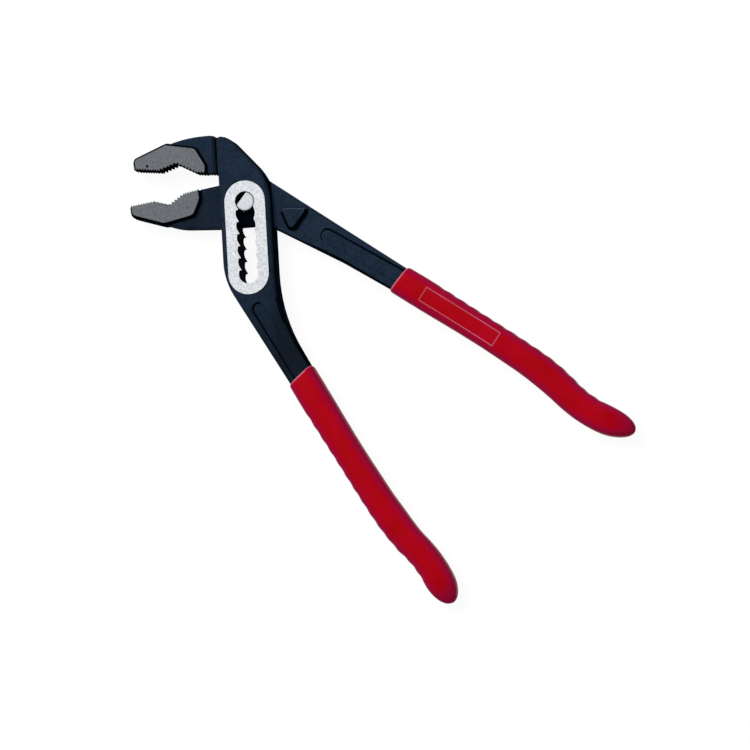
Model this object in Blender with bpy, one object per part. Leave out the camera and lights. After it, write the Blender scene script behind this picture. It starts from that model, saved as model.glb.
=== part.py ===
# Water pump pliers with a slotted box joint, lying on their side with the handles apart.
# X runs across the slot, Y along it towards the upper jaw, and Z through the tool's thickness.
# The outer lever carries the upper jaw, the two slotted cheeks and one handle. The inner lever
# passes between the cheeks with the lower jaw and the other handle, and turns on the pin.
# Every piece is drawn about the pin's axis in the first notch, with Z zero in the middle plane.
import math
from dataclasses import dataclass

import bmesh
import bpy
from mathutils import Vector

MM = 0.001

# Fits and curve quality
RUNNING_GAP = 0.3 * MM
OVERRUN = 2.0 * MM
CURVE_TOLERANCE = 0.03 * MM
ROUND_STEPS = 3

# Where the pin's axis stands, measured from the middle of the tool's footprint
PIN_X = -59.0 * MM
PIN_Y = 79.3 * MM

# Thicknesses through the tool
TOOL_THICKNESS = 13.5 * MM
BOX_THICKNESS = 12.4 * MM
NECK_THICKNESS = 5.3 * MM
JAW_THICKNESS = 10.4 * MM
JAW_WEB_THICKNESS = 6.4 * MM
HANDLE_THICKNESS = 9.2 * MM
FORGED_ROUND = 1.4 * MM
GROUND_EDGE = 0.25 * MM

# Pin, which turns in round notches and slides past the teeth on its flat
PIN_RADIUS = 4.25 * MM
PIN_FLAT = 2.0 * MM
PIN_FLAT_ANGLE = math.radians(139.8)
PIN_RECESS = 0.3 * MM
PIN_CHAMFER = 0.35 * MM
PIN_FACETS = 40

# Slot through both cheeks
NOTCH_COUNT = 7
NOTCH_PITCH = 5.6 * MM
NOTCH_RADIUS = PIN_RADIUS + RUNNING_GAP
TOOTH_REACH = 3.15 * MM
TOOTH_DROP = 3.75 * MM
SLOT_BACK_WALL = 3.9 * MM
TRAVEL = (NOTCH_COUNT - 1) * NOTCH_PITCH

# Box joint
BOX_HALF_WIDTH = 12.0 * MM
BOX_CORNER_RADIUS = 1.8 * MM
SHOULDER_HEIGHT = 9.3 * MM
SHOULDER_RADIUS = 27.0 * MM
BOSS_HALF_WIDTH = 9.6 * MM
NECK_RADIUS = 13.9 * MM
CAVITY_TOP_RADIUS = 17.5 * MM
CAVITY_END_RADIUS = 23.3 * MM
CAVITY_CORNER_ANGLE = math.radians(40)
CLOSING_ANGLE = math.radians(18)

# Jaws: how far they reach from the pin and how high or deep they go
UPPER_REACH = 51.3 * MM
UPPER_HEIGHT = 31.6 * MM
LOWER_REACH = 54.0 * MM
LOWER_DEPTH = 11.4 * MM
LAND_DRAFT = 1.0 * MM
WEB_ROOT_DRAFT = 1.7 * MM
COARSE_PITCH = 1.7 * MM
COARSE_DEPTH = 0.7 * MM
FINE_PITCH = 1.25 * MM
FINE_DEPTH = 0.35 * MM

# Outer handle, whose sides leave the box below the last notch
OUTER_HEADING = math.radians(-62.5)
OUTER_MOUTH_X = 20.7 * MM
OUTER_MOUTH_DROP = 48.3 * MM
OUTER_SLOPE_DROP = 12.4 * MM
HEEL_DROP = 1.9 * MM
HEEL_RADIUS = 32.0 * MM
FLARE_DROP = 18.3 * MM
FLARE_RADIUS = 77.0 * MM

# Inner handle, which thickens from the neck once it is clear of the cheeks
INNER_HEADING = math.radians(-35.5)
INNER_MOUTH_X = 69.1 * MM
INNER_MOUTH_DROP = 41.8 * MM
NECK_BACK_ANGLE = math.radians(138)
NECK_CORNER_X = 8.8 * MM
NECK_CORNER_DROP = 11.3 * MM
NECK_CORNER_RADIUS = 15.0 * MM
UNDERSIDE_X = 42.8 * MM
UNDERSIDE_DROP = 31.4 * MM
UNDERSIDE_RADIUS = 90.0 * MM
RAMP_HEADING = math.radians(-11)
RAMP_START = 28.0 * MM
RAMP_LENGTH = 10.5 * MM
STOP_THICKNESS = 11.2 * MM
STOP_DRAFT = 1.5 * MM
STOP_LENGTH = 10.8 * MM
STOP_WIDTH = 11.6 * MM
STOP_X = 18.6 * MM
STOP_DROP = 5.0 * MM

# Sunk panels on the faces of both handles, which run on under the grips
PANEL_DEPTH = 0.6 * MM
OUTER_PANEL_HALF_WIDTH = 2.2 * MM
OUTER_PANEL_X = 3.4 * MM
OUTER_PANEL_DROP = 16.4 * MM
INNER_PANEL_HALF_WIDTH = 2.75 * MM
INNER_PANEL_X = 37.0 * MM
INNER_PANEL_DROP = 19.1 * MM

# Steel tangs inside the grips
TANG_WIDTH = 12.0 * MM
TANG_END_WIDTH = 8.0 * MM
TANG_STEPS = 15

# Dipped grips
GRIP_WIDTH = 13.7 * MM
GRIP_POINTS = 20
GRIP_SQUARENESS = 3.2
GRIP_LIP = 0.5 * MM
GRIP_END_WALL = 12.0 * MM
GRIP_STEP = 4.5 * MM
CAP_STEPS = 6
OUTER_MOUTH_SLANT = math.radians(12)
INNER_MOUTH_SLANT = math.radians(7)
MOUTH_FADE = 14.0 * MM
RIB_PITCH = 6.85 * MM
RIB_DEPTH = 0.4 * MM
RIB_STEPS = 4
RIB_START = 16.5 * MM
OUTER_GRIP_LENGTH = 126.2 * MM
OUTER_GRIP_CAP = 13.0 * MM
INNER_GRIP_LENGTH = 130.2 * MM
INNER_GRIP_CAP = 16.0 * MM

# Width along a grip: share of its length, share of GRIP_WIDTH
GRIP_WIDTH_SHARES = (
    (0.0, 1.02),
    (0.08, 1.03),
    (0.35, 0.98),
    (0.5, 1.0),
    (0.62, 1.03),
    (0.78, 0.98),
    (1.0, 0.98),
)
# Bends along a grip: share of its length, and turn in degrees towards the side away from the other grip
OUTER_BEND_SHARES = ((0.52, -2.3), (0.17, -5.0), (0.06, -7.3), (0.14, 16.5), (0.11, 0.0))
INNER_BEND_SHARES = ((0.34, -0.9), (0.2, -2.2), (0.18, -10.4), (0.2, 24.6), (0.08, 0.0))

# The hood corner: shares of the box's half width across, of the jaw height up and of the half width round
HOOD_X_SHARE = -0.508
HOOD_HEIGHT_SHARE = 0.96
HOOD_RADIUS_SHARE = 0.84
# The jaw's web runs out into the box's wall between these heights, and into the box as far as this share
WEB_ROOT_SHARES = (0.38, 0.93)
WEB_ROOT_END_SHARE = -0.84

# Corners as shares of a reach and of a height, with their radii as shares of that height
UPPER_WEB_SHARES = (
    (-0.966, 0.549, 0.06),
    (-0.77, 0.528, 0.0),
    (-0.349, 0.415, 0.0),
    (-0.16, 0.404, 0.0),
    (-0.16, 0.847, 0.0),
    (-0.262, 1.03, 0.2),
    (-0.649, 1.034, 1.8),
    (-0.971, 0.747, 0.06),
)
UPPER_LAND_SHARES = (
    (-0.989, 0.501, 0.0),
    (-0.359, 0.415, 0.0),
    (-0.349, 0.582, 0.08),
    (-0.437, 0.849, 0.08),
    (-0.705, 0.937, 0.06),
    (-0.999, 0.754, 0.05),
)
LOWER_LAND_SHARES = (
    (-1.004, 0.613, 0.0),
    (-0.993, -0.14, 0.2),
    (-0.715, -0.59, 0.35),
    (-0.459, -0.356, 0.27),
    (-0.396, 0.294, 0.27),
    (-0.411, 0.908, 0.0),
)
LOWER_BELLY_SHARES = ((-0.884, -0.338, 0.16), (-0.581, -0.86, 2.5), (-0.25, -0.975, 2.0))
LOWER_BACK_SHARES = (
    (-0.383, 0.703, 0.15),
    (-0.521, 0.387, 0.15),
    (-0.662, 0.015, 0.15),
    (-0.883, 0.052, 0.0),
)
STOP_SHARES = ((0.0, 0.0, 0.1), (0.4, -1.0, 0.1), (1.0, -0.06, 0.1))
# Bite lines as shares of a reach and of a height, with the kind of tooth up to the next point
UPPER_BITE_SHARES = (
    (-1.031, 0.617, "fine"),
    (-0.77, 0.563, "coarse"),
    (-0.615, 0.646, "coarse"),
    (-0.444, 0.49, "fine"),
    (-0.2, 0.435, "fine"),
)
LOWER_BITE_SHARES = (
    (-0.345, 0.739, "fine"),
    (-0.54, 0.572, "coarse"),
    (-0.667, 0.182, "coarse"),
    (-0.797, 0.368, "fine"),
    (-1.044, 0.234, "fine"),
)
TOOTH_LEAN_SHARE = 0.35
PANEL_OFFSET_SHARE = 0.15

MATERIALS = {
    "outer_lever": ((0.018, 0.032, 0.048), 0.42, 0.6),
    "inner_lever": ((0.018, 0.032, 0.048), 0.42, 0.6),
    "hinge_pin": ((0.62, 0.63, 0.64), 0.35, 1.0),
    "outer_grip": ((0.42, 0.0, 0.006), 0.4, 0.0),
    "inner_grip": ((0.42, 0.0, 0.006), 0.4, 0.0),
}


def heading_vector(angle):
    return Vector((math.cos(angle), math.sin(angle)))


def left_of(direction):
    return Vector((-direction.y, direction.x))


def arc_points(centre, radius, start, end):
    """Points on an arc, close enough for its chords to stay within the curve tolerance."""
    step = 2 * math.acos(1 - CURVE_TOLERANCE / radius)
    count = max(1, math.ceil(abs(end - start) / step))
    return [centre + heading_vector(start + (end - start) * i / count) * radius for i in range(count + 1)]


def rounded_outline(corners):
    """A polygon of (x, y, radius) corners, each replaced by an arc tangent to both of its sides."""
    outline = []
    for index, (x, y, radius) in enumerate(corners):
        corner = Vector((x, y))
        if radius == 0:
            outline.append(corner)
            continue
        back = (Vector(corners[index - 1][:2]) - corner).normalized()
        ahead = (Vector(corners[(index + 1) % len(corners)][:2]) - corner).normalized()
        half = back.angle(ahead) / 2
        centre = corner + (back + ahead).normalized() * radius / math.sin(half)
        reach = radius / math.tan(half)
        first = corner + back * reach - centre
        last = corner + ahead * reach - centre
        start = math.atan2(first.y, first.x)
        sweep = math.atan2(last.y, last.x) - start
        sweep = (sweep + math.pi) % (2 * math.pi) - math.pi
        outline += arc_points(centre, radius, start, start + sweep)
    return outline


def share_corners(shares, reach, height):
    return [(x * reach, y * height, radius * height) for x, y, radius in shares]


def offset_outline(outline, distance):
    """An anticlockwise outline moved outwards, or inwards where the distance is negative."""
    moved = []
    for index, point in enumerate(outline):
        arrive = (point - outline[index - 1]).normalized()
        leave = (outline[(index + 1) % len(outline)] - point).normalized()
        normal = -left_of(arrive)
        mitre = (normal - left_of(leave)).normalized()
        moved.append(point + mitre * distance / mitre.dot(normal))
    return moved


def stadium(first, last, radius):
    """Two half circles joined by straight sides."""
    run = last - first
    side = math.atan2(run.y, run.x)
    quarter = math.pi / 2
    outline = arc_points(last, radius, side - quarter, side + quarter)
    return outline + arc_points(first, radius, side + quarter, side + 3 * quarter)


def level(outline, z):
    return [Vector((point.x, point.y, z)) for point in outline]


def skin(rings):
    """A closed mesh over rings of equal length. A last ring of one point closes it to a pole."""
    mesh = bmesh.new()
    loops = [[mesh.verts.new(point) for point in ring] for ring in rings]
    for low, high in zip(loops, loops[1:]):
        for index in range(len(low)):
            after = (index + 1) % len(low)
            corners = [low[index], low[after], high[after % len(high)], high[index % len(high)]]
            mesh.faces.new(dict.fromkeys(corners))
    for loop in (loops[0], loops[-1]):
        if len(loop) > 1:
            mesh.faces.new(loop)
    bmesh.ops.recalc_face_normals(mesh, faces=mesh.faces)
    return mesh


def prism(outline, low, high):
    return skin([level(outline, low), level(outline, high)])


def plate(outline, thickness, rim):
    """A plate centred on the middle plane, with its rims rounded."""
    rings = []
    for step in range(ROUND_STEPS + 1):
        angle = math.pi / 2 * step / ROUND_STEPS
        inset = rim * (1 - math.cos(angle))
        height = thickness / 2 - rim + rim * math.sin(angle)
        rings.append((offset_outline(outline, -inset), height))
    stack = [level(ring, -height) for ring, height in reversed(rings)]
    return skin(stack + [level(ring, height) for ring, height in rings])


def drafted_pad(outline, thickness, foot, draft):
    """A pad raised on both faces, whose walls spread by the draft from its top down to its foot."""
    top = thickness / 2
    narrow = offset_outline(outline, -GROUND_EDGE)
    wide = offset_outline(outline, draft)
    stack = [level(narrow, -top), level(outline, GROUND_EDGE - top), level(wide, -foot)]
    stack += [level(wide, foot), level(outline, top - GROUND_EDGE), level(narrow, top)]
    return skin(stack)


def slope_faces(mesh, crease, direction, length, first_share, last_share):
    """Changes a plate's thickness evenly from a crease line on, from one share of it to another."""
    for distance in (0, length):
        place = (crease + direction * distance).to_3d()
        geometry = mesh.verts[:] + mesh.edges[:] + mesh.faces[:]
        bmesh.ops.bisect_plane(mesh, geom=geometry, plane_co=place, plane_no=direction.to_3d())
    for vertex in mesh.verts:
        run = (vertex.co.xy - crease).dot(direction)
        part = min(max(run / length, 0), 1)
        vertex.co.z *= first_share + (last_share - first_share) * part


def smooth_value(shares, place):
    """The value at a place among (place, value) shares, eased from each to the next."""
    for (start, low), (end, high) in zip(shares, shares[1:]):
        if place <= end:
            part = max(place - start, 0) / (end - start)
            return low + (high - low) * part * part * (3 - 2 * part)
    return shares[-1][1]


@dataclass
class Handle:
    """One handle from its grip's mouth on. Its side is the one away from the other handle."""

    mouth: Vector
    heading: float
    length: float
    cap: float
    slant: float
    bend_shares: tuple
    side: int

    def at(self, distance):
        """The point at a distance along the centre line, and the heading there."""
        point = self.mouth.copy()
        heading = self.heading
        for index, (share, degrees) in enumerate(self.bend_shares):
            span = share * self.length
            last = index == len(self.bend_shares) - 1
            run = distance if last else min(distance, span)
            swept = math.radians(degrees) * self.side * run / span
            chord = run * math.sin(swept / 2) / (swept / 2) if swept else run
            point += heading_vector(heading + swept / 2) * chord
            heading += swept
            distance -= run
        return point, heading

    def edge(self, distance, offset):
        point, heading = self.at(distance)
        return point + left_of(heading_vector(heading)) * offset

    def tang_half_width(self, distance):
        return (TANG_WIDTH + (TANG_END_WIDTH - TANG_WIDTH) * distance / self.length) / 2

    def tang_corners(self):
        """The tang's edges, out along its right-hand side and back along its left-hand one."""
        end = self.length - GRIP_END_WALL - RUNNING_GAP
        stations = [end * step / TANG_STEPS for step in range(TANG_STEPS + 1)]
        out = [self.edge(distance, -self.tang_half_width(distance)) for distance in stations]
        back = [self.edge(distance, self.tang_half_width(distance)) for distance in reversed(stations)]
        return [(point.x, point.y, 0) for point in out + back]

    def section(self, distance, profile):
        """A ring of (offset, height) points across the handle, leaning with the grip's mouth near it."""
        lean = self.side * math.tan(self.slant) * max(1 - distance / MOUTH_FADE, 0)
        ring = []
        for offset, height in profile:
            place = self.edge(distance + lean * offset, offset)
            ring.append(Vector((place.x, place.y, height)))
        return ring

    def bore_profile(self, distance):
        """A rounded rectangle that clears the tang all round."""
        half_width = self.tang_half_width(distance) + RUNNING_GAP
        half_height = HANDLE_THICKNESS / 2 + RUNNING_GAP
        per_corner = GRIP_POINTS // 4
        profile = []
        for quarter, (across, up) in enumerate(((1, 1), (-1, 1), (-1, -1), (1, -1))):
            for step in range(per_corner):
                angle = math.pi / 2 * (quarter + step / (per_corner - 1))
                offset = across * (half_width - FORGED_ROUND) + FORGED_ROUND * math.cos(angle)
                height = up * (half_height - FORGED_ROUND) + FORGED_ROUND * math.sin(angle)
                profile.append((offset, height))
        return profile

    def skin_profile(self, distance, inset):
        """A rectangle softened to a cushion shape, ribbed on the handle's outer side."""
        into_cap = max(distance - (self.length - self.cap), 0) / self.cap
        closing = math.sqrt(1 - into_cap**2)
        share = smooth_value(GRIP_WIDTH_SHARES, distance / self.length)
        half_width = GRIP_WIDTH / 2 * share * closing - inset
        half_height = TOOL_THICKNESS / 2 * closing - inset
        phase = (distance - RIB_START) / RIB_PITCH
        ribbed = 0 < phase < self.rib_count()
        valley = RIB_DEPTH * (1 - math.cos(2 * math.pi * phase)) / 2 if ribbed else 0
        peak = math.cos(math.pi / GRIP_POINTS)
        profile = []
        for index in range(GRIP_POINTS):
            angle = 2 * math.pi * (index + 0.5) / GRIP_POINTS
            across = math.cos(angle) / peak
            up = math.sin(angle) / peak
            offset = half_width * math.copysign(abs(across) ** (2 / GRIP_SQUARENESS), across)
            height = half_height * math.copysign(abs(up) ** (2 / GRIP_SQUARENESS), up)
            offset -= self.side * valley * max(self.side * across, 0) ** 2
            profile.append((offset, height))
        return profile

    def rib_count(self):
        return int((self.length - self.cap - RIB_START) / RIB_PITCH)

    def grip_stations(self):
        """Distances along the grip, closer together over the ribs."""
        stations = []
        plain_start = int(RIB_START / GRIP_STEP)
        for step in range(1, plain_start + 1):
            stations.append(GRIP_LIP + (RIB_START - GRIP_LIP) * step / (plain_start + 1))
        for step in range(self.rib_count() * RIB_STEPS + 1):
            stations.append(RIB_START + RIB_PITCH * step / RIB_STEPS)
        rest = self.length - self.cap - stations[-1]
        plain_end = max(1, round(rest / GRIP_STEP))
        for step in range(1, plain_end + 1):
            stations.append(self.length - self.cap - rest * (1 - step / plain_end))
        return [GRIP_LIP] + stations

    def grip_mesh(self):
        """A sleeve closed at its far end: the bore back to the mouth, then the outer skin to its pole."""
        rings = []
        bore_end = self.length - GRIP_END_WALL
        for step in range(TANG_STEPS, -1, -1):
            distance = bore_end * step / TANG_STEPS
            rings.append(self.section(distance, self.bore_profile(distance)))
        rings.append(self.section(0, self.skin_profile(0, GRIP_LIP / 2)))
        for distance in self.grip_stations():
            rings.append(self.section(distance, self.skin_profile(distance, 0)))
        for step in range(1, CAP_STEPS):
            distance = self.length - self.cap * (1 - math.sin(math.pi / 2 * step / CAP_STEPS))
            rings.append(self.section(distance, self.skin_profile(distance, 0)))
        rings.append([self.edge(self.length, 0).to_3d()])
        return skin(rings)


def outer_handle():
    mouth = Vector((OUTER_MOUTH_X, -TRAVEL - OUTER_MOUTH_DROP))
    sizes = (OUTER_GRIP_LENGTH, OUTER_GRIP_CAP, OUTER_MOUTH_SLANT)
    return Handle(mouth, OUTER_HEADING, *sizes, OUTER_BEND_SHARES, -1)


def inner_handle():
    mouth = Vector((INNER_MOUTH_X, -INNER_MOUTH_DROP))
    sizes = (INNER_GRIP_LENGTH, INNER_GRIP_CAP, INNER_MOUTH_SLANT)
    return Handle(mouth, INNER_HEADING, *sizes, INNER_BEND_SHARES, 1)


def outer_outline():
    """The box with its hood, then both sides of the handle down to the end of its tang."""
    corners = [(-BOX_HALF_WIDTH, UPPER_HEIGHT, BOX_CORNER_RADIUS)]
    corners.append((-BOX_HALF_WIDTH, -TRAVEL - HEEL_DROP, HEEL_RADIUS))
    corners += outer_handle().tang_corners()
    corners.append((BOX_HALF_WIDTH, -TRAVEL - FLARE_DROP, FLARE_RADIUS))
    corners.append((BOX_HALF_WIDTH, SHOULDER_HEIGHT, SHOULDER_RADIUS))
    hood_x = BOX_HALF_WIDTH * HOOD_X_SHARE
    corners.append((hood_x, UPPER_HEIGHT * HOOD_HEIGHT_SHARE, BOX_HALF_WIDTH * HOOD_RADIUS_SHARE))
    return rounded_outline(corners)


def inner_outline():
    """The belly of the jaw, the handle out and back, then the disc round the pin and the jaw's back."""
    tang = inner_handle().tang_corners()
    mouth_top = Vector(tang[-1][:2])
    tangent = math.atan2(mouth_top.y, mouth_top.x) + math.acos(NECK_RADIUS / mouth_top.length)
    disc = arc_points(Vector((0, 0)), NECK_RADIUS, tangent, NECK_BACK_ANGLE)
    corners = share_corners(LOWER_BELLY_SHARES, LOWER_REACH, LOWER_DEPTH)
    corners.append((NECK_CORNER_X, -NECK_CORNER_DROP, NECK_CORNER_RADIUS))
    corners.append((UNDERSIDE_X, -UNDERSIDE_DROP, UNDERSIDE_RADIUS))
    corners += tang
    corners += [(point.x, point.y, 0) for point in disc]
    corners += share_corners(LOWER_BACK_SHARES, LOWER_REACH, LOWER_DEPTH)
    return rounded_outline(corners)


def slot_outline():
    """The slot's wall: round notches parted by teeth on the left, shallow scallops on the right."""
    centres = [Vector((0, -index * NOTCH_PITCH)) for index in range(NOTCH_COUNT)]
    tooth = Vector((-TOOTH_REACH, -TOOTH_DROP))
    leave = math.atan2(tooth.y, tooth.x) + 2 * math.pi - math.acos(NOTCH_RADIUS / tooth.length)
    enter = math.pi - math.asin((NOTCH_PITCH - TOOTH_DROP) / NOTCH_RADIUS)
    scallop = math.acos(SLOT_BACK_WALL / NOTCH_RADIUS)
    outline = []
    for index, centre in enumerate(centres[:-1]):
        outline += arc_points(centre, NOTCH_RADIUS, enter if index else math.pi / 2, leave)
        outline.append(centre + tooth)
    outline += arc_points(centres[-1], NOTCH_RADIUS, enter, 2 * math.pi + scallop)
    for centre in reversed(centres[1:-1]):
        outline += arc_points(centre, NOTCH_RADIUS, -scallop, scallop)
    return outline + arc_points(centres[0], NOTCH_RADIUS, -scallop, math.pi / 2)[:-1]


def cavity_outline():
    """What the neck sweeps between the cheeks, out to the handle's lower edge when it is closed."""
    end = Vector((0, -TRAVEL))
    corner = Vector((NECK_CORNER_X, -NECK_CORNER_DROP))
    edge = Vector((UNDERSIDE_X, -UNDERSIDE_DROP)) - corner
    below = -left_of(edge.normalized())
    closed = heading_vector(math.atan2(edge.y, edge.x) - CLOSING_ANGLE)
    clear = -left_of(closed) * (corner.dot(below) + RUNNING_GAP)
    relief = clear + closed * math.sqrt(CAVITY_END_RADIUS**2 - clear.length_squared)
    relief_angle = math.atan2(relief.y, relief.x) + 2 * math.pi
    top = arc_points(Vector((0, 0)), CAVITY_TOP_RADIUS, CAVITY_CORNER_ANGLE, math.pi - CAVITY_CORNER_ANGLE)
    foot = arc_points(end, CAVITY_END_RADIUS, math.pi + CAVITY_CORNER_ANGLE, relief_angle)
    return top + foot + [end + relief + closed * CAVITY_TOP_RADIUS]


def toothed_line(shares, reach, height):
    """A bite line of saw teeth, whose tips lie on it and whose roots lie to its left."""
    sizes = {"fine": (FINE_PITCH, FINE_DEPTH), "coarse": (COARSE_PITCH, COARSE_DEPTH)}
    points = [Vector((x * reach, y * height)) for x, y, _ in shares]
    line = []
    for start, end, (_, _, kind) in zip(points, points[1:], shares):
        pitch, depth = sizes[kind]
        run = end - start
        count = max(1, round(run.length / pitch))
        root = left_of(run.normalized()) * depth + run * TOOTH_LEAN_SHARE / count
        for tooth in range(count):
            line.append(start + run * tooth / count)
            line.append(line[-1] + root)
    return line + [points[-1]]


def bite_cutter(line, far_y):
    """A prism that removes everything from a toothed line to a level beyond the jaw."""
    outline = line + [Vector((line[-1].x, far_y)), Vector((line[0].x, far_y))]
    return prism(outline, -TOOL_THICKNESS / 2, TOOL_THICKNESS / 2)


def new_object(name, mesh):
    data = bpy.data.meshes.new(name)
    mesh.to_mesh(data)
    mesh.free()
    thing = bpy.data.objects.new(name, data)
    bpy.context.collection.objects.link(thing)
    return thing


def helper(name, mesh):
    thing = new_object(name, mesh)
    thing.hide_render = True
    thing.display_type = "WIRE"
    return thing


def combine(target, tool, operation):
    modifier = target.modifiers.new(tool.name, "BOOLEAN")
    modifier.object = tool
    modifier.operation = operation
    modifier.solver = "EXACT"


def sloped_panel(name, first, last, half_width, slope, side):
    """A cutter that sinks one side's panel by an even depth into the sloping face."""
    crease, direction, length, thickness, first_share, last_share = slope
    floor = (thickness / 2 - PANEL_DEPTH) * side
    mesh = prism(stadium(first, last, half_width), floor, thickness * side)
    slope_faces(mesh, crease, direction, length, first_share, last_share)
    return helper(name, mesh)


def make_outer_lever():
    handle = outer_handle()
    direction = heading_vector(OUTER_HEADING)
    crease = Vector((0, -TRAVEL - OUTER_SLOPE_DROP))
    length = (handle.mouth - crease).dot(direction)
    last_share = HANDLE_THICKNESS / BOX_THICKNESS
    body = plate(outer_outline(), BOX_THICKNESS, FORGED_ROUND)
    slope_faces(body, crease, direction, length, 1, last_share)
    lever = new_object("outer_lever", body)

    web = rounded_outline(share_corners(UPPER_WEB_SHARES, UPPER_REACH, UPPER_HEIGHT))
    land = rounded_outline(share_corners(UPPER_LAND_SHARES, UPPER_REACH, UPPER_HEIGHT))
    line = toothed_line(UPPER_BITE_SHARES, UPPER_REACH, UPPER_HEIGHT)
    foot = JAW_WEB_THICKNESS / 2 - GROUND_EDGE
    jaw = helper("upper_jaw", plate(web, JAW_WEB_THICKNESS, FORGED_ROUND))
    combine(jaw, helper("upper_land", drafted_pad(land, JAW_THICKNESS, foot, LAND_DRAFT)), "UNION")
    low, high = (UPPER_HEIGHT * share for share in WEB_ROOT_SHARES)
    left, right = -BOX_HALF_WIDTH, BOX_HALF_WIDTH * WEB_ROOT_END_SHARE
    root = [Vector(corner) for corner in ((left, high), (left, low), (right, low), (right, high))]
    combine(jaw, helper("web_root", drafted_pad(root, BOX_THICKNESS, foot, WEB_ROOT_DRAFT)), "UNION")
    combine(jaw, helper("upper_bite", bite_cutter(line, 0)), "DIFFERENCE")
    combine(lever, jaw, "UNION")

    ring = stadium(Vector((0, 0)), Vector((0, -TRAVEL)), BOSS_HALF_WIDTH)
    combine(lever, helper("boss", plate(ring, TOOL_THICKNESS, GROUND_EDGE)), "UNION")
    half_cavity = NECK_THICKNESS / 2 + RUNNING_GAP
    cavity = prism(cavity_outline(), -half_cavity, half_cavity)
    combine(lever, helper("cavity", cavity), "DIFFERENCE")
    slot = prism(slot_outline(), -TOOL_THICKNESS, TOOL_THICKNESS)
    combine(lever, helper("slot", slot), "DIFFERENCE")

    slope = (crease, direction, length, BOX_THICKNESS, 1, last_share)
    first = Vector((OUTER_PANEL_X, -TRAVEL - OUTER_PANEL_DROP))
    last = handle.edge(MOUTH_FADE, 0)
    for side in (1, -1):
        name = f"outer_panel_{side}"
        combine(lever, sloped_panel(name, first, last, OUTER_PANEL_HALF_WIDTH, slope, side), "DIFFERENCE")
    return lever


def make_inner_lever():
    handle = inner_handle()
    direction = heading_vector(RAMP_HEADING)
    crease = direction * RAMP_START
    neck_share = NECK_THICKNESS / HANDLE_THICKNESS
    body = plate(inner_outline(), HANDLE_THICKNESS, FORGED_ROUND)
    slope_faces(body, crease, direction, RAMP_LENGTH, neck_share, 1)
    lever = new_object("inner_lever", body)

    foot = NECK_THICKNESS / 2 - GROUND_EDGE
    land = rounded_outline(share_corners(LOWER_LAND_SHARES, LOWER_REACH, LOWER_DEPTH))
    line = toothed_line(LOWER_BITE_SHARES, LOWER_REACH, LOWER_DEPTH)
    jaw = helper("lower_jaw", drafted_pad(land, JAW_THICKNESS, foot, LAND_DRAFT))
    combine(jaw, helper("lower_bite", bite_cutter(line, UPPER_HEIGHT)), "DIFFERENCE")
    combine(lever, jaw, "UNION")

    corners = share_corners(STOP_SHARES, STOP_LENGTH, STOP_WIDTH)
    stop = rounded_outline([(STOP_X + x, y - STOP_DROP, radius) for x, y, radius in corners])
    combine(lever, helper("stop", drafted_pad(stop, STOP_THICKNESS, foot, STOP_DRAFT)), "UNION")
    bore = arc_points(Vector((0, 0)), NOTCH_RADIUS, 0, 2 * math.pi)[:-1]
    combine(lever, helper("bore", prism(bore, -TOOL_THICKNESS, TOOL_THICKNESS)), "DIFFERENCE")

    slope = (crease, direction, RAMP_LENGTH, HANDLE_THICKNESS, neck_share, 1)
    first = Vector((INNER_PANEL_X, -INNER_PANEL_DROP))
    last = handle.edge(MOUTH_FADE, TANG_WIDTH * PANEL_OFFSET_SHARE)
    for side in (1, -1):
        name = f"inner_panel_{side}"
        combine(lever, sloped_panel(name, first, last, INNER_PANEL_HALF_WIDTH, slope, side), "DIFFERENCE")
    return lever


def make_hinge_pin():
    """A round pin whose two ends are cut to a D, so that they pass the teeth when the handles are wide."""
    end = TOOL_THICKNESS / 2 - PIN_RECESS
    turns = [2 * math.pi * index / PIN_FACETS for index in range(PIN_FACETS)]
    full = [heading_vector(turn) * PIN_RADIUS for turn in turns]
    small = [heading_vector(turn) * (PIN_RADIUS - PIN_CHAMFER) for turn in turns]
    rings = [level(small, -end), level(full, PIN_CHAMFER - end)]
    rings += [level(full, end - PIN_CHAMFER), level(small, end)]
    pin = new_object("hinge_pin", skin(rings))
    normal = heading_vector(PIN_FLAT_ANGLE)
    across = left_of(normal) * (PIN_RADIUS + OVERRUN)
    near = normal * PIN_FLAT
    far = normal * (PIN_RADIUS + OVERRUN)
    outline = [near - across, far - across, far + across, near + across]
    for side in (1, -1):
        flat = helper(f"flat_{side}", prism(outline, NECK_THICKNESS / 2 * side, TOOL_THICKNESS * side))
        combine(pin, flat, "DIFFERENCE")
    return pin


def finish(thing):
    """Settles a piece's shape, shades its round faces smooth and gives it its own material."""
    bpy.context.view_layer.update()
    graph = bpy.context.evaluated_depsgraph_get()
    settled = bpy.data.meshes.new_from_object(thing.evaluated_get(graph))
    settled.name = thing.name
    thing.modifiers.clear()
    thing.data = settled
    settled.shade_smooth()
    settled.set_sharp_from_angle(angle=math.radians(30))
    colour, roughness, metallic = MATERIALS[thing.name]
    material = bpy.data.materials.new(thing.name)
    material.use_nodes = True
    shader = material.node_tree.nodes["Principled BSDF"]
    shader.inputs["Base Color"].default_value = (*colour, 1)
    shader.inputs["Roughness"].default_value = roughness
    shader.inputs["Metallic"].default_value = metallic
    settled.materials.clear()
    settled.materials.append(material)


def main():
    for thing in list(bpy.data.objects):
        bpy.data.objects.remove(thing)
    pieces = [make_outer_lever(), make_inner_lever(), make_hinge_pin()]
    pieces.append(new_object("outer_grip", outer_handle().grip_mesh()))
    pieces.append(new_object("inner_grip", inner_handle().grip_mesh()))
    for piece in pieces:
        finish(piece)
    pin_axis = bpy.data.objects.new("pin_axis", None)
    pin_axis.location = (PIN_X, PIN_Y, TOOL_THICKNESS / 2)
    bpy.context.collection.objects.link(pin_axis)
    for thing in bpy.data.objects:
        if thing is not pin_axis:
            thing.parent = pin_axis


main()
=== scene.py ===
"""Water pump pliers: the forged levers, hinge pin and dipped grips in their finishes, on a pale studio floor."""
import math

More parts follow.
